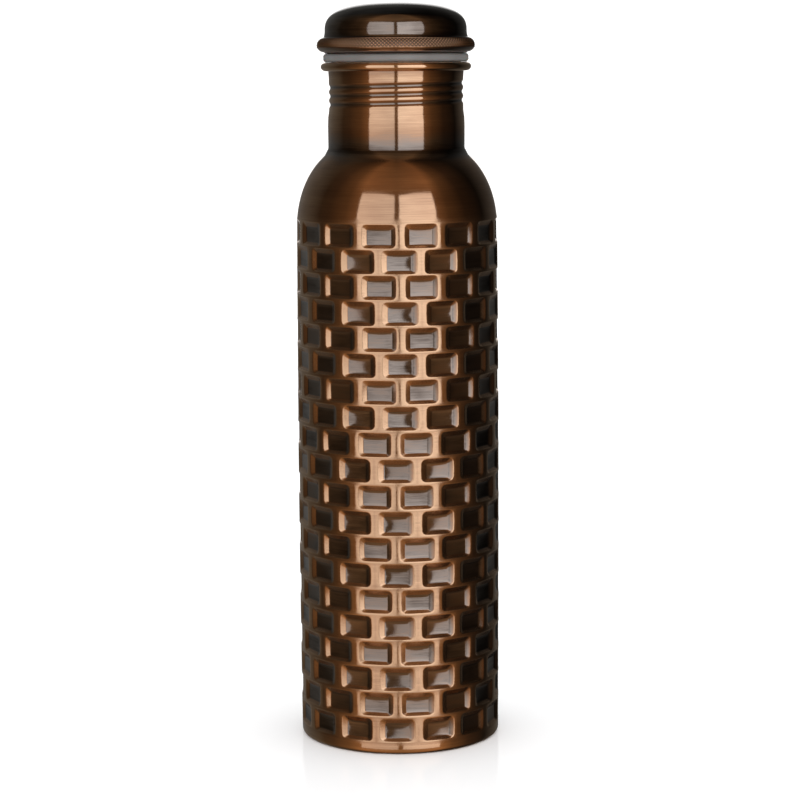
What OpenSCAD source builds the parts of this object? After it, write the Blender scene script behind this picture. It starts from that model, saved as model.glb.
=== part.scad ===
// Copper water bottle with an embossed wall and a screw cap.
// The origin is the middle of the foot, on the surface that the bottle stands on. +Z points up.

/* [Body] */
// Widest outer diameter of the embossed wall
body_d = 72; // [70:0.5:76]
// How much narrower the wall is at the foot and at the shoulder than at half height
barrel = 0.7; // [0:0.1:1]
// Thickness of the drawn copper sheet
sheet = 0.6; // [0.5:0.05:0.7]
// Radius of the corner between the wall and the foot
foot_corner = 1.4; // [1:0.1:1.6]
// Width of the wall's edge that is turned in under the foot
foot_lip = 3.2; // [2.6:0.1:4]

/* [Embossing] */
// Rows of recessed bricks up the wall
brick_rows = 20; // [2:1:20]
// Bricks round the wall
bricks_round = 15; // [9:1:15]
// Height of one row
row_pitch = 9.1; // [9:0.1:9.5]
// Height of the lowest row's middle above the foot
first_row_z = 9.2; // [8.6:0.1:10]
// Width of a brick's flat floor
brick_w = 8.4; // [7:0.1:8.4]
// Height of a brick's flat floor
brick_h = 5.6; // [4.5:0.1:5.6]
// Depth of a brick's floor below the wall
emboss_depth = 1.2; // [0.8:0.1:1.2]
// Number of rows in the lower of the two bands that the wall is pressed in
lower_band_rows = 12; // [0:1:20]
// How far the lower band is turned round the axis, in degrees
lower_band_turn = -1.7; // [-4:0.1:4]
// How far the upper band is turned round the axis, in degrees
upper_band_turn = 1.5; // [-4:0.1:4]

/* [Shoulder and neck] */
// Height of the shoulder's curve
shoulder_h = 30.5; // [28:0.5:32]
// How far the shoulder's curve would reach in if it went on to the level
shoulder_in = 23.4; // [22:0.1:24]
// Outer diameter of the plain lower neck
neck_d = 48.4; // [48:0.1:48.8]
// Outer diameter of the neck where the thread is rolled in
thread_d = 47.6; // [47.4:0.1:47.8]
// Height of the mouth above the foot
mouth_z = 241.1; // [240.9:0.1:241.9]
// Radius of the bead curled round the mouth
bead_r = 1.6; // [1.4:0.1:1.8]

/* [Thread] */
// Rise of the thread in one turn
lead = 3; // [2.8:0.1:3.2]
// Turns of the ridge inside the neck
ridge_turns = 3; // [2:0.5:3]
// Height of the thread's helix at angle zero, one turn below the lowest full turn
helix_z = 224.7; // [224.5:0.1:224.9]
// How far the ridge stands in from the neck
ridge_h = 0.6; // [0.5:0.05:0.65]

/* [Cap] */
// Outer diameter of the threaded plug
plug_d = 46; // [45.8:0.1:46.1]
// Height of the plug's bottom above the foot
plug_z = 224.5; // [224.3:0.1:224.9]
// Thickness of the plug's threaded wall
plug_wall = 1.2; // [1.1:0.05:1.4]
// Diameter of the cap's crown where it leaves the grip ring
crown_d = 51; // [50:0.2:51.6]
// Height of the crown's rounded top
crown_h = 10.3; // [9:0.1:11]
// How square the crown's corner is: 2 would be a plain ellipse
crown_power = 2.7; // [2.4:0.1:2.9]
// Height of the top of the cap above the foot
top_z = 262; // [261.7:0.1:262.7]
// Radius of the rolled grip ring's section
grip_r = 2.55; // [2.4:0.05:2.6]
// How far the cap's turned-in edge reaches down below the grip ring
edge_drop = 0.35; // [0.25:0.05:0.45]
// Thickness of the cap's sheet
cap_sheet = 0.7; // [0.6:0.05:0.8]

/* [Gasket] */
// Outer diameter of the silicone gasket
gasket_d = 51.2; // [50.6:0.1:51.6]
// Height of the gasket
gasket_h = 2.9; // [2.7:0.05:2.9]

/* [Hidden] */
$fn = 96;

copper = "peru";
wall_r = body_d / 2;
end_r = wall_r - barrel / 2;
wall_top = first_row_z + (brick_rows - 1) * row_pitch + 1.4;
bore_r = thread_d / 2 - sheet;

// The brick's slanted sides: how far they spread for each millimetre out from the floor
side_spread = 3;
end_spread = 1.17;

// The crease between the shoulder and the neck
crease_r = 1.2;
shoulder_x = end_r - shoulder_in;
crease_z = wall_top + shoulder_h * sqrt(1 - pow((neck_d / 2 - shoulder_x) / shoulder_in, 2));

// The curled bead
bead_x = bore_r + 0.2 + bead_r;
bead_z = mouth_z - bead_r;

// The grip ring's section, and the gasket that it presses on the bead
seat_gap = 0.05;
gasket_z = mouth_z + seat_gap;
grip_x = crown_d / 2 - 0.1;
edge_x = grip_x - 1.2;
edge_w = 0.6;
edge_z = gasket_z + gasket_h + seat_gap;
grip_z = edge_z + edge_drop + grip_r;
crown_z = top_z - crown_h;
crown_r = crown_d / 2 - 0.4;
flange_z = edge_z + cap_sheet;
flange_r = edge_x + edge_w;
flange_t = 0.8;

// Points along a round stretch of an outline, from one angle to the other
function arc(x, z, r, from, to, steps) =
    [for (i = [0 : steps]) let (a = from + (to - from) * i / steps) [x + r * cos(a), z + r * sin(a)]];

// Points up the shoulder, whose section is a quarter of an ellipse, cut off at the radius end_x
function shoulder(inset, end_x, steps) =
    let (a = shoulder_in - inset, last = acos((end_x - shoulder_x) / a))
    [for (i = [0 : steps]) let (t = last * i / steps)
        [shoulder_x + a * cos(t), wall_top + (shoulder_h - inset) * sin(t)]];

// Points over the cap's crown, a squared-off dome, from its side to the middle
function crown(inset, steps) =
    [for (i = [0 : steps]) let (t = 90 * i / steps, q = 2 / crown_power)
        [(crown_r - inset) * pow(cos(t), q), crown_z + (crown_h - inset) * pow(sin(t), q)]];

// Same points in the opposite order
function backwards(points) = [for (i = [len(points) - 1 : -1 : 0]) points[i]];

// The outside of the body, from the foot to the mouth
body_outside = concat(
    [[0, 0]],
    arc(end_r - foot_corner, foot_corner, foot_corner, -90, 0, 4),
    [[wall_r, wall_top * 0.35], [wall_r, wall_top * 0.65]],
    shoulder(0, neck_d / 2 + crease_r * 0.7, 12),
    [[neck_d / 2 + 0.2, crease_z + 0.4], [neck_d / 2, crease_z + crease_r]],
    [[neck_d / 2, helix_z - 2.6], [thread_d / 2, helix_z - 0.6]],
    [[thread_d / 2, mouth_z - 5], [thread_d / 2 + 0.2, bead_z - bead_r]],
    arc(bead_x, bead_z, bead_r, -110, 90, 12),
    [[bore_r + 0.9, mouth_z], [0, mouth_z]]);

// The inside of the body, from the hole in the foot to the mouth
body_inside = concat(
    [[0, -1], [end_r - foot_lip, -1], [end_r - foot_lip, sheet]],
    arc(end_r - foot_corner, foot_corner, foot_corner - sheet, -90, 0, 4),
    [[wall_r - sheet, wall_top * 0.35], [wall_r - sheet, wall_top * 0.65]],
    shoulder(sheet, neck_d / 2 - sheet, 12),
    [[neck_d / 2 - sheet, helix_z - 2.6], [bore_r, helix_z - 0.6]],
    [[bore_r, mouth_z - 5], [bore_r + 0.2, bead_z]],
    arc(bead_x, bead_z, bead_r, 180, 110, 5),
    [[bead_x - bead_r * 0.34, mouth_z + 1], [0, mouth_z + 1]]);

// The hollow inside the curled bead, with the slit at the sheet's free edge
bead_hollow = concat(
    arc(bead_x, bead_z, bead_r - sheet, 180, -120, 16),
    [[bead_x + (bead_r + 0.2) * cos(240), bead_z + (bead_r + 0.2) * sin(240)]],
    [[bore_r + sheet + 0.2, bead_z - bead_r - 0.2], [bore_r + sheet + 0.2, bead_z]]);

// One brick as a tapered block: its floor lies at the distance floor_x from the axis, and
// it spreads outward as far as face_x
module brick(floor_x, face_x, half_w, half_h) {
    rise = face_x - floor_x;
    face_w = half_w + side_spread * rise;
    face_h = half_h + end_spread * rise;
    intersection() {
        translate([0, 0, -face_h])
            linear_extrude(2 * face_h)
                polygon([[floor_x, -half_w], [face_x, -face_w], [face_x, face_w], [floor_x, half_w]]);
        translate([0, face_w, 0])
            rotate([90, 0, 0])
                linear_extrude(2 * face_w)
                    polygon([[floor_x, -half_h], [face_x, -face_h], [face_x, face_h], [floor_x, half_h]]);
    }
}

// All the bricks, in two bands of rows that alternate by half a brick
module bricks(floor_x, face_x, half_w, half_h) {
    for (row = [0 : brick_rows - 1], k = [0 : bricks_round - 1]) {
        band_turn = row < lower_band_rows ? lower_band_turn : upper_band_turn;
        rotate(360 / bricks_round * (k + (row % 2) / 2) - 90 + band_turn)
            translate([0, 0, first_row_z + row * row_pitch])
                brick(floor_x, face_x, half_w, half_h);
    }
}

// A band with a four-sided section wound round the axis along the thread's helix. Its face at
// the radius near_x is near_w wide and its face at far_x is far_w wide.
module helix(near_x, near_w, far_x, far_w, from, turns, rings = 48) {
    section = [[near_x, -near_w / 2], [far_x, -far_w / 2], [far_x, far_w / 2], [near_x, near_w / 2]];
    count = round(rings * turns);
    points = [for (i = [0 : count], p = section)
        let (a = from + 360 * turns * i / count)
        [p[0] * cos(a), p[0] * sin(a), helix_z + lead * a / 360 + p[1]]];
    sides = [for (i = [0 : count - 1], s = [0 : 3])
        [4 * i + s, 4 * i + (s + 1) % 4, 4 * i + 4 + (s + 1) % 4, 4 * i + 4 + s]];
    start_cap = [3, 2, 1, 0];
    end_cap = [4 * count, 4 * count + 1, 4 * count + 2, 4 * count + 3];
    polyhedron(points, concat(sides, [start_cap, end_cap]), convexity = 10);
}

// Body, shoulder, neck and curled mouth, drawn from one sheet and embossed
module body_shell() {
    floor_x = wall_r - emboss_depth;
    color(copper)
        difference() {
            rotate_extrude() polygon(body_outside);
            rotate_extrude() polygon(bead_hollow);
            bricks(floor_x, floor_x + 1.35, brick_w / 2, brick_h / 2);
            helix(thread_d / 2 - 0.35, 0.5, thread_d / 2 + 0.3, 2, 90, ridge_turns);
            difference() {
                rotate_extrude() polygon(body_inside);
                bricks(floor_x - sheet, floor_x - sheet + 1.35, brick_w / 2 + 0.1, brick_h / 2 + 0.22);
                helix(bore_r - ridge_h, 0.6, bore_r + 0.1, 2, 90, ridge_turns);
            }
        }
}

// Recessed bottom, a shallow dish held by the wall's turned-in edge
module base_disc() {
    rim = end_r - sheet - 0.05;
    dish = 0.8;
    top = 3.6;
    bend = 1.6;
    rise = 1.4;
    outside = concat(
        [[end_r - foot_corner + 0.1, sheet], [rim, foot_corner + 0.1]],
        arc(rim - bend, top - bend, bend, 0, 90, 5),
        [[rim * 0.7, top], [rim * 0.62, top + rise], [0, top + rise]]);
    inside = concat(
        [[0, top + rise - dish], [rim * 0.62 + 0.2, top + rise - dish], [rim * 0.7 + 0.2, top - dish]],
        arc(rim - bend, top - bend, bend - dish, 90, 0, 5),
        [[rim - dish, sheet]]);
    color(copper) rotate_extrude() polygon(concat(outside, inside));
}

// Silicone ring between the cap and the mouth
module gasket() {
    inner = bore_r + 0.1;
    outer = gasket_d / 2;
    soft = 1;
    edge = 0.25;
    color("lightgray")
        rotate_extrude()
            polygon(concat(
                arc(outer - soft, gasket_z + soft, soft, -90, 0, 5),
                arc(outer - soft, gasket_z + gasket_h - soft, soft, 0, 90, 5),
                arc(inner + edge, gasket_z + gasket_h - edge, edge, 90, 180, 2),
                arc(inner + edge, gasket_z + edge, edge, 180, 270, 2)));
}

// Hollow threaded plug with the flange that the cap's rim is turned under
module cap_plug() {
    r = plug_d / 2;
    inner = r - plug_wall;
    corner = 1;
    outline = concat(
        [[0, plug_z]],
        arc(r - corner, plug_z + corner, corner, -90, 0, 4),
        [[r, flange_z], [flange_r, flange_z], [flange_r, flange_z + flange_t], [inner, flange_z + flange_t]],
        [[inner, plug_z + 1], [0, plug_z + 1]]);
    color(copper)
        difference() {
            rotate_extrude() polygon(outline);
            helix(bore_r - ridge_h - 0.25, 0.9, r + 0.15, 2.2, -200, ridge_turns + 1.05);
        }
}

// Spun top of the cap, with its edge rolled out into the grip ring and turned in underneath
module cap_dome() {
    outside = concat(
        [[edge_x, edge_z], [edge_x + edge_w, edge_z]],
        arc(grip_x, grip_z, grip_r, -75, 78, 16),
        [[crown_d / 2, grip_z + grip_r + 0.7]],
        crown(0, 20));
    inside = concat(
        [[edge_x, flange_z], [edge_x + edge_w, flange_z]],
        arc(grip_x, grip_z, grip_r - cap_sheet, -80, 92, 16),
        [[crown_d / 2 - cap_sheet, grip_z + grip_r + 0.2]],
        crown(cap_sheet, 20));
    color(copper) rotate_extrude() polygon(concat(outside, backwards(inside)));
}

body_shell();
base_disc();
gasket();
cap_plug();
cap_dome();
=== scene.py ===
"""Copper water bottle with an embossed wall and a screw cap: its looks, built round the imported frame.

Every piece is worked out in millimetres and turned into metres when its mesh is made.
"""

import math
import random

import bmesh
import bpy
from mathutils import Matrix, Vector


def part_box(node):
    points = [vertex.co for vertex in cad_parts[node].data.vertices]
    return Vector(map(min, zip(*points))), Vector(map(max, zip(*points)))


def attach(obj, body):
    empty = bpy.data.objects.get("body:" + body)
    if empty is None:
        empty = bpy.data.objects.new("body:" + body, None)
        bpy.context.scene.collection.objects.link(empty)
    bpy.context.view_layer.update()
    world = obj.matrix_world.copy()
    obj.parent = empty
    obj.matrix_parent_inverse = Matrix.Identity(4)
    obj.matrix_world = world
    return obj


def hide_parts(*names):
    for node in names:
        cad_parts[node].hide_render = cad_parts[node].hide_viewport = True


MM = 0.001
random.seed(11)

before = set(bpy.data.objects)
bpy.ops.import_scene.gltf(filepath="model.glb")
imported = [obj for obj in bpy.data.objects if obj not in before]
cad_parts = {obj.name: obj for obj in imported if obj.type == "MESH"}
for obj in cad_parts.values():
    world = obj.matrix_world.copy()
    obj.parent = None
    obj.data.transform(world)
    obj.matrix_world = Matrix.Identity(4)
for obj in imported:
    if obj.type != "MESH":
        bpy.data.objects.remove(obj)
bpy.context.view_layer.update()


def extent(node):
    """Lowest and highest corner of a CAD node, in millimetres."""
    low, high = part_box(node)
    return low / MM, high / MM


BODY_HIGH = extent("body_shell")[1]
DISC_LOW, DISC_HIGH = extent("base_disc")
SEAL_LOW, SEAL_HIGH = extent("gasket")
PLUG_LOW, PLUG_HIGH = extent("cap_plug")
DOME_LOW, DOME_HIGH = extent("cap_dome")

# The wall
SHEET = 0.6
WALL_R = BODY_HIGH.x
END_R = WALL_R - 0.35
FOOT_CORNER = 1.4
FOOT_LIP = 3.2

# The embossing
ROWS = 20
BRICKS = 15
ROW_PITCH = 9.1
FIRST_ROW = 9.2
FLOOR_DEPTH = 1.2
FLOOR_HALF = (4.1, 2.6)
FLOOR_DROP = 0.3
RIM_HALF = (6.15, 4.05)
BAND_ROW = 12
BAND_TURNS = (-1.7, 1.5)
DISH_POWER = 2.6

# Patina tones of the embossing, from 0, dark, to 1, bright copper
WEB_TONE = 0.74
FLOOR_EDGE_TONE = 0.16
FLOOR_TONE = 0.15

# The shoulder, the neck and the thread
SHOULDER_Z = 183.5
SHOULDER_H = 30.5
SHOULDER_IN = 23.4
SHOULDER_X = END_R - SHOULDER_IN
NECK_R = 24.2
THREAD_R = 23.8
CREASE_Z = 209.7
MOUTH_Z = BODY_HIGH.z
BEAD_R = 1.6
BORE_R = THREAD_R - SHEET
LEAD = 3.0
HELIX_Z = 224.7
HELIX_START = 90.0
HELIX_END = HELIX_START + 3 * 360
HELIX_RUN_OUT = 70.0
THREAD_DEPTH = 0.6
WAVE_DEPTH = 0.5
GROOVE_DEPTH = 0.65
THREAD_LOW = HELIX_Z - 0.6
THREAD_HIGH = MOUTH_Z - 5

# The cap
CAP_SHEET = 0.7
GRIP_R = 2.55
GRIP_X = DOME_HIGH.x - GRIP_R
GRIP_Z = DOME_LOW.z + 0.35 + GRIP_R
EDGE_X = DOME_HIGH.x - 3.75
CROWN_R = 25.1
CROWN_H = 10.3
CROWN_POWER = 2.7
PLUG_R = 23.0

# The knurl: how many diamonds go round, which is a tenth fewer than on the real ring because those are
# too fine to show, where it lies and how tall they are, in degrees round the ring's section, and how
# deep its grooves are
KNURLS = 135
KNURL_LOW, KNURL_HIGH = -18, 66
KNURL_STEP = 13.8
KNURL_DEPTH = 0.38

# Points round each lathe-turned surface: fine ones outside, coarse ones on the inside
ROUND = 180
ROUND_INSIDE = 90
ROUND_KNURL = KNURLS * 12


# ---------------------------------------------------------------- mesh code

def arc(x, z, r, start, end, steps):
    """Points along a round stretch of an outline, from one angle to the other."""
    angles = [math.radians(start + (end - start) * i / steps) for i in range(steps + 1)]
    return [(x + r * math.cos(a), z + r * math.sin(a)) for a in angles]


def line(a, b, steps):
    """Points from a to b along a straight stretch, without a itself."""
    shares = [i / steps for i in range(1, steps + 1)]
    return [(a[0] + (b[0] - a[0]) * t, a[1] + (b[1] - a[1]) * t) for t in shares]


def toned(points, tone, end_tone=None):
    """The same points with a patina tone each, from 0, dark, to 1, bright copper."""
    last = tone if end_tone is None else end_tone
    count = max(len(points) - 1, 1)
    return [(r, z, tone + (last - tone) * i / count) for i, (r, z) in enumerate(points)]


def smooth(x, low, high):
    """0 below low, 1 above high and a smooth step between."""
    t = min(max((x - low) / (high - low), 0.0), 1.0)
    return t * t * (3 - 2 * t)


class Skin:
    """Collects the points and faces of one mesh, with each point's tone, patina with painted light and shade
    in places, and how matt it is buffed.
    """

    def __init__(self):
        self.points, self.tones, self.buffs, self.faces = [], [], [], []
        self.buff = 0.0

    def point(self, x, y, z, tone):
        self.points.append((x * MM, y * MM, z * MM))
        self.tones.append(min(max(tone, 0.0), 1.0))
        self.buffs.append(self.buff)
        return len(self.points) - 1

    def polar(self, angle, r, z, tone):
        """A point at an angle in degrees, counted from the front, -Y, towards +X."""
        a = math.radians(angle)
        return self.point(r * math.sin(a), -r * math.cos(a), z, tone)

    def ring(self, r, z, tone, count, relief=None):
        """A closed ring of points, which relief may move in or out and make darker."""
        made = []
        for i in range(count):
            angle = 360 * i / count
            moved, shade = relief(angle, r, z) if relief else (0.0, 0.0)
            made.append(self.polar(angle, r + moved, z, tone + shade))
        return made

    def strip(self, a, b):
        """Faces between two closed rings; one may hold a whole number of times as many points."""
        if len(a) < len(b):
            ratio = len(b) // len(a)
            for i in range(len(a)):
                fine = [b[(i * ratio + k) % len(b)] for k in range(ratio, -1, -1)]
                self.faces.append([a[i], a[(i + 1) % len(a)]] + fine)
        else:
            ratio = len(a) // len(b)
            for i in range(len(b)):
                fine = [a[(i * ratio + k) % len(a)] for k in range(ratio + 1)]
                self.faces.append(fine + [b[(i + 1) % len(b)], b[i]])

    def lathe(self, outline, count, relief=None, after=None):
        """Turns an outline of (radius, height, tone) points, joined to the ring after, and returns the
        last ring."""
        last = after
        for r, z, tone in outline:
            ring = [self.point(0, 0, z, tone)] if r < 1e-6 else self.ring(r, z, tone, count, relief)
            if last is not None:
                if len(ring) == 1:
                    self.faces += [[last[i], last[(i + 1) % len(last)], ring[0]] for i in range(len(last))]
                elif len(last) == 1:
                    self.faces += [[last[0], ring[(i + 1) % len(ring)], ring[i]] for i in range(len(ring))]
                else:
                    self.strip(last, ring)
            last = ring
        return last

    def build(self, name):
        """The finished object, with its tone, patina with painted light and shade in places, and its buffing
        as attributes.
        """
        mesh = bpy.data.meshes.new(name)
        mesh.from_pydata(self.points, [], self.faces)
        mesh.validate()
        mesh.attributes.new("tone", "FLOAT", "POINT").data.foreach_set("value", self.tones)
        mesh.attributes.new("buff", "FLOAT", "POINT").data.foreach_set("value", self.buffs)
        mesh.shade_smooth()
        obj = bpy.data.objects.new(name, mesh)
        bpy.context.scene.collection.objects.link(obj)
        return obj


def face_outward(obj):
    """Turns the faces of a closed mesh so that all of them look outward."""
    faces = bmesh.new()
    faces.from_mesh(obj.data)
    bmesh.ops.recalc_face_normals(faces, faces=faces.faces)
    faces.to_mesh(obj.data)
    faces.free()


# ---------------------------------------------------------------- the embossed wall

def wall_r(z):
    """Outer radius of the wall, very slightly fuller at half height."""
    t = (z - SHOULDER_Z / 2) / (SHOULDER_Z / 2)
    barrel = WALL_R - (WALL_R - END_R) * t * t
    if z <= SHOULDER_Z:
        return barrel
    return SHOULDER_X + SHOULDER_IN * math.sqrt(1 - ((z - SHOULDER_Z) / SHOULDER_H) ** 2)


def row_z(row):
    """Middle of a row. The rows aren't quite evenly spaced: they drift a little on the way up."""
    share = row / (ROWS - 1)
    drift = math.sin(math.pi * share ** 1.8) - 0.46 * (1 - share)
    return FIRST_ROW + row * ROW_PITCH + drift


def row_turn(row):
    """How far a row is turned, in degrees: the rows form two bands that don't quite line up."""
    return BAND_TURNS[1] if row >= BAND_ROW else BAND_TURNS[0]


def line_z(row):
    """Height of the line under a row, half way to the row below."""
    if row == 0:
        return row_z(0) - ROW_PITCH / 2
    if row == ROWS:
        return row_z(ROWS - 1) + ROW_PITCH / 2
    return (row_z(row - 1) + row_z(row)) / 2


def line_turn(row):
    """How far the line under a row is turned, in degrees."""
    return (row_turn(max(row - 1, 0)) + row_turn(min(row, ROWS - 1))) / 2


def rounded(half_w, half_h, corner, along, up):
    """Points round a rectangle with round corners, from its lower left corner, anticlockwise: along steps
    on the lower and upper edges and up steps on the sides."""
    def corner_point(sx, sy, angle):
        a = math.radians(angle)
        return (sx * (half_w - corner + corner * math.cos(a)), sy * (half_h - corner + corner * math.sin(a)))

    flat = half_w - corner
    if along >= 8:
        bottom = [corner_point(-1, -1, 45), corner_point(-1, -1, 68)]
        bottom += [(-flat + 2 * flat * i / (along - 4), -half_h) for i in range(along - 3)]
        bottom += [corner_point(1, -1, 68), corner_point(1, -1, 45)]
    else:
        bottom = [corner_point(-1, -1, 45)]
        bottom += [(-flat + 2 * flat * i / (along - 2), -half_h) for i in range(along - 1)]
        bottom += [corner_point(1, -1, 45)]
    side = [corner_point(1, -1, 20)] if up > 2 else []
    side += [(half_w, 0.0)]
    side += [corner_point(1, 1, 20)] if up > 2 else []
    return bottom + side + [(-x, -y) for x, y in bottom + side]


def four_edges(ring_points, along, up):
    """The same points cut into the lower, right, upper and left edges, each with both its ends."""
    n = len(ring_points)
    cuts = [0, along, along + up, 2 * along + up, n]
    return [[ring_points[i % n] for i in range(a, b + 1)] for a, b in zip(cuts, cuts[1:])]


class Brick:
    """One brick: where it sits, and the small random ways in which it differs from the others."""

    def __init__(self, row, k):
        self.angle = 360 / BRICKS * (k + (row % 2) / 2) + row_turn(row)
        self.z = row_z(row)
        self.shift = (random.uniform(-0.2, 0.2), random.uniform(-0.08, 0.08))
        self.size = (1 + random.uniform(-0.03, 0.03), 1 + random.uniform(-0.02, 0.02))
        self.depth = FLOOR_DEPTH + random.gauss(0, 0.06)
        self.tilt = (random.gauss(0, 0.012), random.gauss(0, 0.016))
        self.dish = 0.13 + random.uniform(-0.05, 0.07)
        self.corner = 1 + random.gauss(0, 0.08)

    def place(self, u, v, sink, inset, hollow=0.0):
        """(x, y, z) of a point at u along the wall and v up it. sink is 0 on the wall and 1 on the flat
        floor, inset the depth below the outer skin, and hollow pushes the floor's middle further in."""
        z = self.z + v
        r = wall_r(z) - inset
        a = u / WALL_R
        on_wall = (r * math.cos(a), r * math.sin(a))
        floor_x = wall_r(self.z) - self.depth - inset
        floor_x += self.tilt[0] * u + self.tilt[1] * v - hollow
        x = on_wall[0] + (floor_x - on_wall[0]) * sink
        y = on_wall[1] + (u - on_wall[1]) * sink
        b = math.radians(self.angle)
        return (x * math.sin(b) + y * math.cos(b), -x * math.cos(b) + y * math.sin(b), z)


# Rings of a brick from the rim's outer edge to the floor: how far out from the floor's edge or the
# rim's edge each lies (along, up), how far it is sunk, and its corner radius
OUTER_RINGS = (
    ("rim", 0.30, 0.14, 0.0, 1.9),
    ("rim", 0.0, 0.0, 0.06, 1.7),
    ("rim", -0.40, -0.22, 0.26, 1.4),
    ("floor", 0.36, 0.22, 0.88, 0.70),
    ("floor", 0.0, 0.0, 1.0, 0.45),
)
INNER_RINGS = (
    ("rim", 0.30, 0.20, 0.0, 1.6),
    ("floor", 0.10, 0.22, 1.0, 0.7),
)


def emboss(skin, bricks, per_half, up, rings, inset):
    """The whole embossed band, one cell for each brick. per_half is the number of points along half a
    brick's pitch. Returns the lowest and the highest ring of points."""
    count = 2 * BRICKS * per_half
    step = 360 / count
    skin.buff = 1.0

    def level(row):
        return [skin.polar(i * step + line_turn(row), wall_r(line_z(row)) - inset, line_z(row), WEB_TONE)
                for i in range(count)]

    def uprights(row):
        """The points between two lines, on the middle of each web that stands between two bricks."""
        low, high = line_z(row), line_z(row + 1)
        made = []
        for k in range(BRICKS):
            angle = 360 / BRICKS * (k + (row % 2) / 2 - 0.5) + row_turn(row)
            heights = [low + (high - low) * j / up for j in range(1, up)]
            made.append([skin.polar(angle, wall_r(z) - inset, z, WEB_TONE) for z in heights])
        return made

    lines = [level(row) for row in range(ROWS + 1)]
    along = 2 * per_half
    for row in range(ROWS):
        sides = uprights(row)
        for k in range(BRICKS):
            brick = bricks[row][k]
            first = (2 * k + (row % 2) - 1) * per_half
            low = [lines[row][(first + i) % count] for i in range(along + 1)]
            high = [lines[row + 1][(first + i) % count] for i in range(along + 1)]
            last = low + sides[(k + 1) % BRICKS] + high[::-1] + sides[k][::-1]
            for edge, out_w, out_h, sink, corner in rings:
                half = RIM_HALF if edge == "rim" else FLOOR_HALF
                shape = rounded(half[0] * brick.size[0] + out_w, half[1] * brick.size[1] + out_h,
                                corner * brick.corner, along, up)
                drop = FLOOR_DROP * smooth(sink, 0.2, 0.9)
                skin.buff = 1.0 if sink < 0.3 else 0.75 if sink < 0.95 else 0.1
                ring = [skin.point(*brick.place(u + brick.shift[0], v + brick.shift[1] - drop, sink, inset),
                                   brick_patina_and_painted_light(u, v, sink)) for u, v in shape]
                n = len(ring)
                skin.faces += [[last[i], last[(i + 1) % n], ring[(i + 1) % n], ring[i]] for i in range(n)]
                last = ring
            fill_floor(skin, brick, last, shape, along, up, inset)
    return lines[0], lines[-1]


def brick_patina_and_painted_light(u, v, sink):
    """Patina of a brick, with painted light on its sides: the rim is buffed bright, the left side is painted
    bright far down as a painted highlight, and the right side is painted dark as painted shade.
    """
    if sink > 0.95:
        return FLOOR_EDGE_TONE
    left = smooth(-u, FLOOR_HALF[0] - 0.4, FLOOR_HALF[0] + 0.2)
    right = smooth(u, FLOOR_HALF[0] - 0.4, FLOOR_HALF[0] + 0.2)
    # Painted light: a painted highlight on the left side and painted shade on the right side
    side = 0.46 + 0.46 * left - 0.36 * right
    return 1.0 + (side - 1.0) * smooth(sink, 0.03, 0.4)


def fill_floor(skin, brick, edge, shape, along, up, inset):
    """The floor inside a brick's last ring, very slightly dished."""
    skin.buff = 0.0
    n = len(edge)
    low, right, high, left = four_edges(list(zip(edge, shape)), along, up)
    high, left = high[::-1], left[::-1]
    half_w = max(p[0] for p in shape)
    half_h = max(p[1] for p in shape)
    grid = [[low[i][0] for i in range(along + 1)]]
    for j in range(1, up):
        t = 0.5 + 0.5 * math.copysign(abs(2 * j / up - 1) ** 0.75, j / up - 0.5)
        row = [left[j][0]]
        for i in range(1, along):
            u = (1 - t) * low[i][1][0] + t * high[i][1][0]
            v = (2 * t - 1) * half_h
            hollow = brick.dish * (1 - abs(u / half_w) ** DISH_POWER) * (1 - abs(v / half_h) ** DISH_POWER)
            where = brick.place(u + brick.shift[0], v + brick.shift[1] - FLOOR_DROP, 1.0, inset, hollow)
            row.append(skin.point(*where, FLOOR_TONE))
        row.append(right[j][0])
        grid.append(row)
    grid.append([high[i][0] for i in range(along + 1)])
    for a, b in zip(grid, grid[1:]):
        skin.faces += [[a[i], a[i + 1], b[i + 1], b[i]] for i in range(along)]


# ---------------------------------------------------------------- the thread

def helix_phase(angle, z):
    """(distance from the nearest turn of the helix, as a share of the lead; degrees along the helix)."""
    from_x = angle - 90
    turns = (z - HELIX_Z) / LEAD - from_x / 360
    return turns - round(turns), from_x + 360 * round(turns)


def helix_fade(along, start, end):
    """1 along the helix, fading to 0 over its run-out at both ends."""
    return smooth(along, start, start + HELIX_RUN_OUT) * (1 - smooth(along, end - HELIX_RUN_OUT, end))


def neck_outside(angle, r, z):
    """The rolled thread as it shows outside: a soft wave with its valleys on the helix."""
    phase, along = helix_phase(angle, z)
    valley = (0.5 + 0.5 * math.cos(2 * math.pi * phase)) ** 1.4 * helix_fade(along, HELIX_START, HELIX_END)
    return -WAVE_DEPTH * valley, -0.6 * valley


def neck_inside(angle, r, z):
    """The same thread inside: a ridge with sloping sides."""
    phase, along = helix_phase(angle, z)
    ridge = min(max((0.33 - abs(phase)) / 0.23, 0), 1) * helix_fade(along, HELIX_START, HELIX_END)
    return -THREAD_DEPTH * ridge, 0.1 * ridge


def plug_outside(angle, r, z):
    """The plug's groove, which the neck's ridge runs in."""
    if r < PLUG_R - 0.01:
        return 0.0, 0.0
    phase, along = helix_phase(angle, z)
    groove = min(max((0.326 - abs(phase)) / 0.176, 0), 1) * helix_fade(along, -260, HELIX_END + 90)
    return -GROOVE_DEPTH * groove, -0.3 * groove


# ---------------------------------------------------------------- the pieces

def shoulder(inset, end_x, steps):
    """Points up the shoulder from the wall's top line: part of an ellipse, cut off at the radius end_x."""
    a, h = SHOULDER_IN - inset, SHOULDER_H - inset
    first = math.asin((line_z(ROWS) - SHOULDER_Z) / h)
    last = math.acos((end_x - SHOULDER_X) / a)
    angles = [first + (last - first) * i / steps for i in range(1, steps + 1)]
    return [(SHOULDER_X + a * math.cos(t), SHOULDER_Z + h * math.sin(t)) for t in angles]


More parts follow.
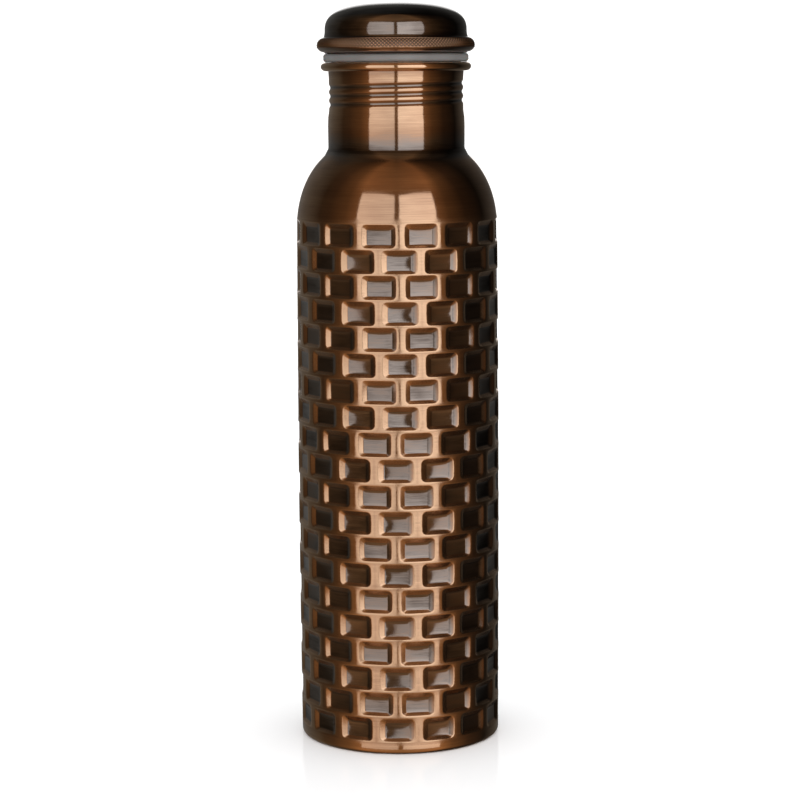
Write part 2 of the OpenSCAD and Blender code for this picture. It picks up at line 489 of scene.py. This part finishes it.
def shoulder_tones(points):
    """The shoulder's colour, which darkens towards its top and most of all into the crease under the neck.
    """
    return [(r, z, 0.64 - 0.14 * (z - SHOULDER_Z) / SHOULDER_H - 0.5 * smooth(z, CREASE_Z - 4, CREASE_Z + 1))
            for r, z in points]


def body_shell():
    """Wall, shoulder, neck and curled mouth, all one sheet."""
    skin = Skin()
    bricks = [[Brick(row, k) for k in range(BRICKS)] for row in range(ROWS)]
    low_out, high_out = emboss(skin, bricks, 6, 4, OUTER_RINGS, 0.0)
    low_in, high_in = emboss(skin, bricks, 3, 2, INNER_RINGS, SHEET)
    skin.buff = 0.0

    bead_x = BORE_R + 0.2 + BEAD_R
    bead_z = MOUTH_Z - BEAD_R
    outer = shoulder_tones(shoulder(0, NECK_R + 1.3, 14))
    # The crease under the neck is the darkest
    outer += toned(arc(NECK_R + 1.3, CREASE_Z + 1.6, 1.3, 222, 180, 4), 0.0, 0.08)
    outer += toned(line(outer[-1][:2], (NECK_R + 0.05, THREAD_LOW - 5.2), 5), 0.15, 0.66)
    outer += toned([(NECK_R, THREAD_LOW - 3.6), (NECK_R - 0.06, THREAD_LOW - 2.2)], 0.7)
    outer += toned([(THREAD_R + 0.16, THREAD_LOW - 1)], 0.7)
    outer += toned(line((THREAD_R, THREAD_LOW), (THREAD_R, THREAD_HIGH - 0.4), 34), 0.74)
    outer += toned([(THREAD_R + 0.06, THREAD_HIGH + 0.4)], 0.62)
    outer += toned([(THREAD_R + 0.18, bead_z - BEAD_R + 0.1)], 0.4)
    outer += toned([(BORE_R + SHEET + 0.2, bead_z - 0.7)], 0.2)
    outer += toned(arc(bead_x, bead_z, BEAD_R - SHEET, 180, -120, 7), 0.3)
    outer += toned(arc(bead_x, bead_z, BEAD_R, -120, 90, 16), 0.95)
    last = skin.lathe(outer, ROUND, neck_outside, high_out)
    inner = toned(arc(bead_x, bead_z, BEAD_R, 105, 180, 4), 0.8)
    inner += toned(line((BORE_R, THREAD_HIGH), (BORE_R, THREAD_LOW), 34), 0.8)
    inner += toned([(NECK_R - SHEET, THREAD_LOW - 2), (NECK_R - SHEET, CREASE_Z + 1)], 0.7)
    inner += toned(shoulder(SHEET, NECK_R - SHEET + 0.5, 10)[::-1], 0.6)
    last = skin.lathe(inner, ROUND_INSIDE, neck_inside, last)
    skin.strip(last, high_in)

    foot_x = END_R - FOOT_CORNER
    lip_x = END_R - FOOT_LIP
    foot = toned([(wall_r(2.9), 2.9), (wall_r(2.2), 2.2)], 0.92)
    foot += toned(arc(foot_x, FOOT_CORNER, FOOT_CORNER, 0, -90, 6), 1.0, 0.7)
    foot += toned(arc(lip_x + SHEET / 2, SHEET / 2, SHEET / 2, -90, -270, 5), 0.5)
    last = skin.lathe(foot, ROUND, None, low_out)
    fold = toned(arc(foot_x, FOOT_CORNER, FOOT_CORNER - SHEET, -90, 0, 4), 0.6)
    last = skin.lathe(fold, ROUND_INSIDE, None, last)
    skin.strip(last, low_in)
    return skin.build("embossed_body")


def base_disc():
    """Shallow dish pressed into the foot, with a step and a few turned rings."""
    rim = DISC_HIGH.x
    dish = 0.8
    top = 3.6
    bend = 1.6
    rise = DISC_HIGH.z - top
    rise_x = rim * 0.66
    above = [(END_R - FOOT_CORNER + 0.1, DISC_LOW.z), (rim, FOOT_CORNER + 0.1)]
    above += arc(rim - bend, top - bend, bend, 0, 90, 8)
    above += [(rise_x + 1.6, top), (rise_x + 0.9, top + 0.12)]
    above += [(rise_x - 0.9, top + rise - 0.12), (rise_x - 1.6, top + rise)]
    above += [(rise_x * k, top + rise) for k in (0.7, 0.4, 0.1)] + [(0, top + rise)]
    below = [(0, top + rise - dish)] + [(rise_x * k, top + rise - dish) for k in (0.1, 0.4, 0.7)]
    below += [(rise_x - 1.4, top + rise - dish), (rise_x - 0.7, top + rise - dish - 0.12)]
    below += [(rise_x + 1.1, top - dish + 0.12), (rise_x + 1.8, top - dish)]
    below += arc(rim - bend, top - bend, bend - dish, 90, 0, 6)
    below += [(rim - dish, DISC_LOW.z + 0.1), (rim - dish + 0.1, DISC_LOW.z)]
    skin = Skin()
    last = skin.lathe(toned(above, 0.6)[::-1], ROUND)
    skin.lathe(toned(below, 0.55)[::-1], ROUND, None, last)
    return skin.build("recessed_base")


def gasket():
    """Silicone ring, with soft outer corners and a moulding line."""
    inner, outer = 23.3, SEAL_HIGH.x
    low, high = SEAL_LOW.z, SEAL_HIGH.z
    soft, edge = 1.0, 0.25
    middle = (low + high) / 2
    outline = arc(outer - soft, low + soft, soft, -90, 0, 7)
    outline += [(outer - 0.02, middle - 0.12), (outer, middle), (outer - 0.02, middle + 0.12)]
    outline += arc(outer - soft, high - soft, soft, 0, 90, 7)
    outline += arc(inner + edge, high - edge, edge, 90, 180, 4)
    outline += arc(inner + edge, low + edge, edge, 180, 270, 4)
    skin = Skin()
    last = skin.lathe(toned(outline, 0.5), ROUND)
    skin.strip(last, list(range(ROUND)))
    return skin.build("silicone_gasket")


def cap_plug():
    """Hollow threaded plug: a drawn cup with its flange under the dome's rim."""
    low, flange_low, flange_high = PLUG_LOW.z, PLUG_HIGH.z - 0.8, PLUG_HIGH.z
    corner, wall = 1.0, 1.2
    inner = PLUG_R - wall
    under = [(0, low + 0.35), (8, low + 0.35), (14, low + 0.33)]
    under += [(15, low + 0.18), (16, low + 0.02), (18, low)]
    under += arc(PLUG_R - corner, low + corner, corner, -90, 0, 6)
    outline = toned(under, 0.7)
    outline += toned(line((PLUG_R, low + corner), (PLUG_R, flange_low - 6), 52), 0.82)
    outline += toned(line((PLUG_R, flange_low - 6), (PLUG_R, flange_low), 6), 0.82)
    outline += toned([(PLUG_HIGH.x - 0.1, flange_low), (PLUG_HIGH.x, flange_low + 0.1)], 0.6)
    outline += toned([(PLUG_HIGH.x, flange_high - 0.1), (PLUG_HIGH.x - 0.1, flange_high)], 0.6)
    outline += toned([(inner + 0.3, flange_high), (inner, flange_high - 0.3)], 0.6)
    outline += toned([(inner, low + 1.8), (inner - 0.25, low + 1.25), (inner - 0.8, low + 1.0)], 0.6)
    outline += toned([(8, low + 1.0), (0, low + 1.0)], 0.6)
    skin = Skin()
    skin.lathe(outline, ROUND, plug_outside)
    return skin.build("threaded_plug")


def crown(inset, steps):
    """Points over the cap's squared-off dome, from the middle to the side."""
    power = 2 / CROWN_POWER
    made = []
    for i in range(steps + 1):
        t = math.pi / 2 * (1 - i / steps)
        made.append(((CROWN_R - inset) * math.cos(t) ** power if i else 0.0,
                     DOME_HIGH.z - CROWN_H + (CROWN_H - inset) * math.sin(t) ** power))
    return made


def knurl(angle, r, z):
    """Crossed grooves round most of the grip ring's outside: their bottoms are dark, patina with painted
    shade, and the diamonds bright with a painted highlight.
    """
    up = math.degrees(math.asin(max(min((z - GRIP_Z) / GRIP_R, 1), -1)))
    across = angle * KNURLS / 360
    along = up / KNURL_STEP
    grooves = [1 - abs(q - round(q)) / 0.5 for q in (across + along / 2, across - along / 2)]
    fade = smooth(up, KNURL_LOW, KNURL_LOW + 5) * (1 - smooth(up, KNURL_HIGH - 5, KNURL_HIGH))
    depth = max(grooves)
    # The second value is partly patina and partly painted light: painted shade in the grooves, a painted
    # highlight on the diamonds
    return -KNURL_DEPTH * depth * fade, (0.5 - 1.1 * smooth(depth, 0.5, 0.85)) * fade


def cap_dome():
    """Spun dome with its edge rolled out into the knurled grip ring and turned in underneath."""
    skin = Skin()
    top = toned(crown(0, 34), 0.07, 0.1)
    root = ((25.12, 4.4), (25.19, 3.8), (25.32, 3.3), (25.5, 2.9), (25.75, 2.62))
    top += toned([(r, GRIP_Z + up) for r, up in root], 0.1, 0.02)
    last = skin.lathe(top, ROUND)
    skin.buff = 1.0
    band = toned(arc(GRIP_X, GRIP_Z, GRIP_R, KNURL_HIGH, KNURL_LOW, 28), 0.5)
    last = skin.lathe(band, ROUND_KNURL, knurl, last)
    skin.buff = 0.0
    rim = toned(arc(GRIP_X, GRIP_Z, GRIP_R, KNURL_LOW - 5, -78, 9), 0.34, 0.3)
    edge_r = CAP_SHEET / 2
    rim += toned([(EDGE_X + 0.8, DOME_LOW.z + 0.03)], 0.4)
    rim += toned(arc(EDGE_X + edge_r, DOME_LOW.z + edge_r, edge_r, -90, -270, 5), 0.4)
    rim += toned([(EDGE_X + 0.7, DOME_LOW.z + CAP_SHEET + 0.02)], 0.3)
    rim += toned(arc(GRIP_X, GRIP_Z, GRIP_R - CAP_SHEET, -80, 92, 12), 0.3)
    rim += toned([(24.8, GRIP_Z + 2.6)] + crown(CAP_SHEET, 20)[::-1], 0.3)
    skin.lathe(rim, ROUND, None, last)
    return skin.build("domed_cap")


# ---------------------------------------------------------------- materials

class Nodes:
    """Makes and links the nodes of one material."""

    def __init__(self, name):
        self.material = bpy.data.materials.new(name)
        self.material.use_nodes = True
        self.tree = self.material.node_tree
        self.shader = self.tree.nodes["Principled BSDF"]

    def add(self, kind, inputs=(), **settings):
        """A new node. Its inputs are sockets to link or values to set."""
        node = self.tree.nodes.new(kind)
        for key, value in settings.items():
            setattr(node, key, value)
        for key, value in dict(inputs).items():
            if isinstance(value, bpy.types.NodeSocket):
                self.tree.links.new(value, node.inputs[key])
            else:
                node.inputs[key].default_value = value
        return node

    def math(self, operation, a, b=0.0, c=0.0, clamp=False):
        node = self.add("ShaderNodeMath", {0: a, 1: b, 2: c}, operation=operation, use_clamp=clamp)
        return node.outputs[0]

    def link(self, output, socket):
        self.tree.links.new(output, self.shader.inputs[socket])

    def ramp(self, fac, stops):
        node = self.add("ShaderNodeValToRGB", {"Fac": fac})
        elements = node.color_ramp.elements
        while len(elements) < len(stops):
            elements.new(0.5)
        for element, (position, colour) in zip(elements, stops):
            element.position = position
            element.color = (*colour, 1)
        return node.outputs["Color"]

    def turned(self, fine):
        """Coordinates that change fast along the axis and the radius and slowly round the axis, so that a
        noise on them draws lathe lines. Returns (vector, w)."""
        where = self.add("ShaderNodeTexCoord").outputs["Object"]
        split = self.add("ShaderNodeSeparateXYZ", {0: where})
        flat = self.add("ShaderNodeCombineXYZ", {0: split.outputs[0], 1: split.outputs[1]}).outputs[0]
        radius = self.add("ShaderNodeVectorMath", {0: flat}, operation="LENGTH").outputs["Value"]
        around = self.add("ShaderNodeVectorMath", {0: flat}, operation="NORMALIZE").outputs["Vector"]
        ends = self.add("ShaderNodeSeparateXYZ", {0: around})
        height = self.math("MULTIPLY", split.outputs[2], fine)
        vector = self.add("ShaderNodeCombineXYZ", {
            0: self.math("MULTIPLY", ends.outputs[0], 2.2),
            1: self.math("MULTIPLY", ends.outputs[1], 2.2),
            2: height,
        }).outputs[0]
        return vector, self.math("MULTIPLY", radius, fine)

    def noise(self, vector, scale, detail=2.0, w=None):
        inputs = {"Vector": vector, "Scale": scale, "Detail": detail, "Roughness": 0.5}
        if w is not None:
            inputs["W"] = w
        dims = "3D" if w is None else "4D"
        return self.add("ShaderNodeTexNoise", inputs, noise_dimensions=dims).outputs["Fac"]


# The darkest colour is dark patina, and painted shade where the tone holds painted light
DARK_PATINA_AND_SHADE = (0.13, 0.11, 0.10)
PATINA = (0.36, 0.33, 0.315)
BRONZE = (0.58, 0.38, 0.26)
COPPER = (0.91, 0.64, 0.435)

# How fast the lathe's fine lines and broad bands change, a metre
FINE_LINES = 2600.0
BROAD_BANDS = 260.0


def copper(name, bump=0.12, low_rough=0.09, high_rough=0.24):
    """Antiqued copper: tone picks the colour from dark patina to buffed copper, streaked by the lathe. Where
    tone holds painted light, the dark end also paints shade and the bright end a highlight.
    """
    n = Nodes(name)
    where = n.add("ShaderNodeTexCoord").outputs["Object"]
    tone = n.add("ShaderNodeAttribute", attribute_name="tone").outputs["Fac"]
    buff = n.add("ShaderNodeAttribute", attribute_name="buff").outputs["Fac"]
    vector, w = n.turned(FINE_LINES)
    lines = n.noise(vector, 1.0, 3.0, w)
    broad_vector, broad_w = n.turned(BROAD_BANDS)
    bands = n.noise(broad_vector, 1.0, 2.0, broad_w)
    clouds = n.noise(where, 42.0, 4.0)
    specks = n.noise(where, 900.0, 2.0)

    streaks = n.math("SUBTRACT", n.math("ADD", bands, lines), 1.0)
    streaks = n.math("MULTIPLY", streaks, n.math("MULTIPLY_ADD", tone, 0.45, 0.16))
    shade = n.math("MULTIPLY_ADD", n.math("SUBTRACT", clouds, 0.5), 0.5, tone)
    shade = n.math("ADD", shade, streaks, clamp=True)
    n.link(n.ramp(shade, ((0.0, DARK_PATINA_AND_SHADE), (0.16, PATINA), (0.48, BRONZE), (0.95, COPPER))), "Base Color")

    rough = n.math("MULTIPLY_ADD", buff, high_rough - low_rough, low_rough - 0.03)
    n.link(n.math("MULTIPLY_ADD", lines, 0.06, rough), "Roughness")
    height = n.math("MULTIPLY_ADD", specks, 0.35, lines)
    bumped = n.add("ShaderNodeBump", {"Height": height, "Strength": bump, "Distance": 0.00006})
    n.link(bumped.outputs["Normal"], "Normal")
    tangent = n.add("ShaderNodeTangent", direction_type="RADIAL", axis="Z")
    n.link(tangent.outputs[0], "Tangent")
    n.shader.inputs["Metallic"].default_value = 1.0
    n.shader.inputs["Anisotropic"].default_value = 0.5
    n.shader.inputs["Anisotropic Rotation"].default_value = 0.25
    return n.material


def silicone():
    """Translucent rubber with a soft sheen and a faint cloudiness, its pale colour darkened to a mid grey as
    painted shade for the shade under the cap's ring.
    """
    n = Nodes("silicone")
    where = n.add("ShaderNodeTexCoord").outputs["Object"]
    clouds = n.noise(where, 120.0, 3.0)
    # Painted shade: these greys are darker than the pale rubber, for the shade under the cap's ring
    n.link(n.ramp(clouds, ((0.3, (0.155, 0.148, 0.143)), (0.7, (0.185, 0.177, 0.17)))), "Base Color")
    grain = n.noise(where, 2500.0, 2.0)
    bumped = n.add("ShaderNodeBump", {"Height": grain, "Strength": 0.08, "Distance": 0.00005})
    n.link(bumped.outputs["Normal"], "Normal")
    n.link(n.math("MULTIPLY_ADD", clouds, 0.12, 0.36), "Roughness")
    n.shader.inputs["Specular IOR Level"].default_value = 1.0
    n.shader.inputs["Subsurface Weight"].default_value = 0.25
    n.shader.inputs["Subsurface Scale"].default_value = 0.0015
    return n.material


def pale_floor():
    """A plain pale floor, hardly cloudy and slightly glossy."""
    n = Nodes("pale_floor")
    where = n.add("ShaderNodeTexCoord").outputs["Object"]
    clouds = n.noise(where, 3.0, 2.0)
    n.link(n.ramp(clouds, ((0.3, (0.86, 0.86, 0.865)), (0.7, (0.88, 0.88, 0.885)))), "Base Color")
    n.shader.inputs["Roughness"].default_value = 0.12
    n.shader.inputs["Specular IOR Level"].default_value = 0.03
    return n.material


# ---------------------------------------------------------------- studio

# The studio's dim surroundings, in three layers. Each has its colours round from the camera's side
# towards +X, in degrees, and how strong they are at each height above the level, in degrees.
WARM_SIDES = (
    ((-180, (0.00, 0.00, 0.00)), (-135, (0.01, 0.01, 0.01)), (-110, (0.032, 0.024, 0.016)),
     (-85, (0.042, 0.025, 0.014)), (-62, (0.09, 0.048, 0.022)), (-46, (0.19, 0.098, 0.044)),
     (0, (0.14, 0.078, 0.038)), (46, (0.19, 0.098, 0.044)), (62, (0.08, 0.043, 0.02)),
     (85, (0.025, 0.015, 0.009)), (115, (0.007, 0.006, 0.005)), (180, (0.00, 0.00, 0.00))),
    ((-90, 0.8), (-60, 1.3), (-25, 1.9), (-8, 1.1), (30, 1.0), (50, 1.55), (75, 1.0), (90, 0.6)),
)
GREY_BACK = (
    ((-180, (0.13, 0.13, 0.125)), (-150, (0.12, 0.12, 0.115)), (-128, (0.07, 0.068, 0.062)),
     (-100, (0.00, 0.00, 0.00)), (115, (0.00, 0.00, 0.00)), (150, (0.06, 0.06, 0.057)),
     (180, (0.13, 0.13, 0.125))),
    ((-90, 0.2), (-40, 0.8), (-10, 1.0), (25, 1.0), (50, 0.25), (90, 0.1)),
)
WHITE_BACKDROP = (
    ((-180, (1.0, 1.0, 1.0)), (-171, (1.0, 1.0, 1.0)), (-165, (0.0, 0.0, 0.0)),
     (165, (0.0, 0.0, 0.0)), (171, (1.0, 1.0, 1.0)), (180, (1.0, 1.0, 1.0))),
    ((-90, 0.0), (-6, 0.0), (-3, 1.35), (20, 1.35), (30, 0.0), (90, 0.0)),
)


# The camera's place in metres, its angles in degrees and its focal length in millimetres
CAMERA_AT = (0.00063, -0.868, 0.241)
CAMERA_TILT = 7.878
CAMERA_ROLL = -0.395
CAMERA_LENS = 109.87

# The softboxes are alike but for azimuth in degrees, radiance and foot. Sizes are in metres, and
# DAYLIGHT is the strength of the white light from all round
SOFTBOXES = (("softbox_left", -24.3, 0.66, 0.6), ("softbox_right", 24.3, 0.92, 0.5))
SOFTBOX_AWAY = 1.0
SOFTBOX_WIDTH = 0.79
SOFTBOX_LOW, SOFTBOX_HIGH = -0.35, 0.91
DOME_RADIUS = 3.0
FLOOR_REACH = 2.0
DAYLIGHT = 1.4


def camera():
    """Seen from the front, from about the mouth's height and slightly downward, through a long lens."""
    tilt, roll = math.radians(CAMERA_TILT), math.radians(CAMERA_ROLL)
    ahead = Vector((0, math.cos(tilt), -math.sin(tilt)))
    up, right = Vector((0, math.sin(tilt), math.cos(tilt))), Vector((1, 0, 0))
    turned_right = math.cos(roll) * right + math.sin(roll) * up
    turned_up = math.cos(roll) * up - math.sin(roll) * right
    data = bpy.data.cameras.new("camera")
    data.sensor_width = 36
    data.lens = CAMERA_LENS
    data.clip_end = 50
    obj = bpy.data.objects.new("camera", data)
    bpy.context.scene.collection.objects.link(obj)
    rotation = Matrix((turned_right, turned_up, -ahead)).transposed()
    obj.matrix_world = Matrix.Translation(CAMERA_AT) @ rotation.to_4x4()
    bpy.context.scene.camera = obj


def softbox(name, azimuth, radiance, foot):
    """An upright softbox facing the axis, which fades to the share foot at its lower edge. Azimuth 0 is at
    the camera's side and 90 at +X."""
    data = bpy.data.lights.new(name, "AREA")
    data.shape = "RECTANGLE"
    tall = SOFTBOX_HIGH - SOFTBOX_LOW
    data.size, data.size_y = SOFTBOX_WIDTH, tall
    data.energy = radiance * SOFTBOX_WIDTH * tall * math.pi
    data.use_nodes = True
    nodes, links = data.node_tree.nodes, data.node_tree.links
    height = nodes.new("ShaderNodeSeparateXYZ")
    links.new(nodes.new("ShaderNodeNewGeometry").outputs["Parametric"], height.inputs[0])
    fade = nodes.new("ShaderNodeMapRange")
    fade.inputs["From Max"].default_value = 0.5
    fade.inputs["To Min"].default_value = foot
    links.new(height.outputs[1], fade.inputs["Value"])
    links.new(fade.outputs[0], nodes["Emission"].inputs["Strength"])
    obj = bpy.data.objects.new(name, data)
    bpy.context.scene.collection.objects.link(obj)
    a = math.radians(azimuth)
    middle = (SOFTBOX_LOW + SOFTBOX_HIGH) / 2
    place = Vector((SOFTBOX_AWAY * math.sin(a), -SOFTBOX_AWAY * math.cos(a), middle))
    facing = Vector((0, 0, place.z)) - place
    obj.matrix_world = Matrix.Translation(place) @ facing.to_track_quat("-Z", "Y").to_matrix().to_4x4()
    obj.visible_camera = obj.visible_diffuse = False


def glow():
    """What reflections see round the studio: warm beside the softboxes, grey at the back and a white
    backdrop straight behind the bottle."""
    n = Nodes("surroundings")
    where = n.add("ShaderNodeTexCoord").outputs["Object"]
    split = n.add("ShaderNodeSeparateXYZ", {0: where})
    across, deep, high = split.outputs
    azimuth = n.math("ARCTAN2", across, n.math("MULTIPLY", deep, -1.0))
    level = n.math("SQRT", n.math("ADD", n.math("MULTIPLY", across, across), n.math("MULTIPLY", deep, deep)))
    elevation = n.math("ARCTAN2", high, level)
    round_share = n.math("MULTIPLY_ADD", azimuth, 0.5 / math.pi, 0.5)
    high_share = n.math("MULTIPLY_ADD", elevation, 1 / math.pi, 0.5)

    def layer(colours, heights):
        """One layer, at half its strength: a ramp's stop can't hold more than 1."""
        colour = n.ramp(round_share, [((degrees + 180) / 360, colour) for degrees, colour in colours])
        factor = n.ramp(high_share, [((degrees + 90) / 180, (f / 2,) * 3) for degrees, f in heights])
        return n.add("ShaderNodeVectorMath", {0: colour, 1: factor}, operation="MULTIPLY").outputs[0]

    total = layer(*WARM_SIDES)
    for colours, heights in (GREY_BACK, WHITE_BACKDROP):
        more = layer(colours, heights)
        total = n.add("ShaderNodeVectorMath", {0: total, 1: more}, operation="ADD").outputs[0]
    emission = n.add("ShaderNodeEmission", {"Color": total, "Strength": 2.0})
    output = n.tree.nodes["Material Output"]
    n.tree.links.new(emission.outputs[0], output.inputs["Surface"])
    return n.material


def dome():
    """A sphere round the whole studio, which only reflections see."""
    skin = Skin()
    outline = arc(0, 0, DOME_RADIUS / MM, -90, 90, 24)
    outline[0], outline[-1] = (0, outline[0][1]), (0, outline[-1][1])
    skin.lathe(toned(outline, 0.5), 72)
    obj = skin.build("surroundings")
    obj.data.materials.append(glow())
    obj.visible_camera = obj.visible_diffuse = obj.visible_shadow = obj.visible_transmission = False


def floor():
    """The pale floor, on the level that the bottle stands on."""
    mesh = bpy.data.meshes.new("floor")
    signs = ((-1, -1), (1, -1), (1, 1), (-1, 1))
    mesh.from_pydata([(x * FLOOR_REACH, y * FLOOR_REACH, 0) for x, y in signs], [], [(0, 1, 2, 3)])
    obj = bpy.data.objects.new("floor", mesh)
    bpy.context.scene.collection.objects.link(obj)
    mesh.materials.append(pale_floor())
    obj.visible_glossy = False


def studio():
    """White light from all round, which reflections don't see, the softboxes, surroundings and floor."""
    scene = bpy.context.scene
    scene.view_settings.view_transform = "Standard"
    world = bpy.data.worlds.new("studio")
    scene.world = world
    world.use_nodes = True
    background = world.node_tree.nodes["Background"]
    background.inputs["Color"].default_value = (1.0, 1.0, 1.0, 1)
    background.inputs["Strength"].default_value = DAYLIGHT
    world.cycles_visibility.glossy = False

    for settings in SOFTBOXES:
        softbox(*settings)
    dome()
    floor()


def put(piece, body, node, material):
    """Paints a piece, lets it ride on its body and stand for its CAD node."""
    face_outward(piece)
    piece.data.materials.append(material)
    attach(piece, body)
    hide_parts(node)


camera()
studio()
put(body_shell(), "bottle", "body_shell", copper("antiqued_copper_body"))
put(base_disc(), "bottle", "base_disc", copper("copper_base"))
put(gasket(), "seal", "gasket", silicone())
put(cap_plug(), "cap", "cap_plug", copper("copper_plug"))
put(cap_dome(), "cap", "cap_dome", copper("antiqued_copper_cap", 0.16, high_rough=0.33))
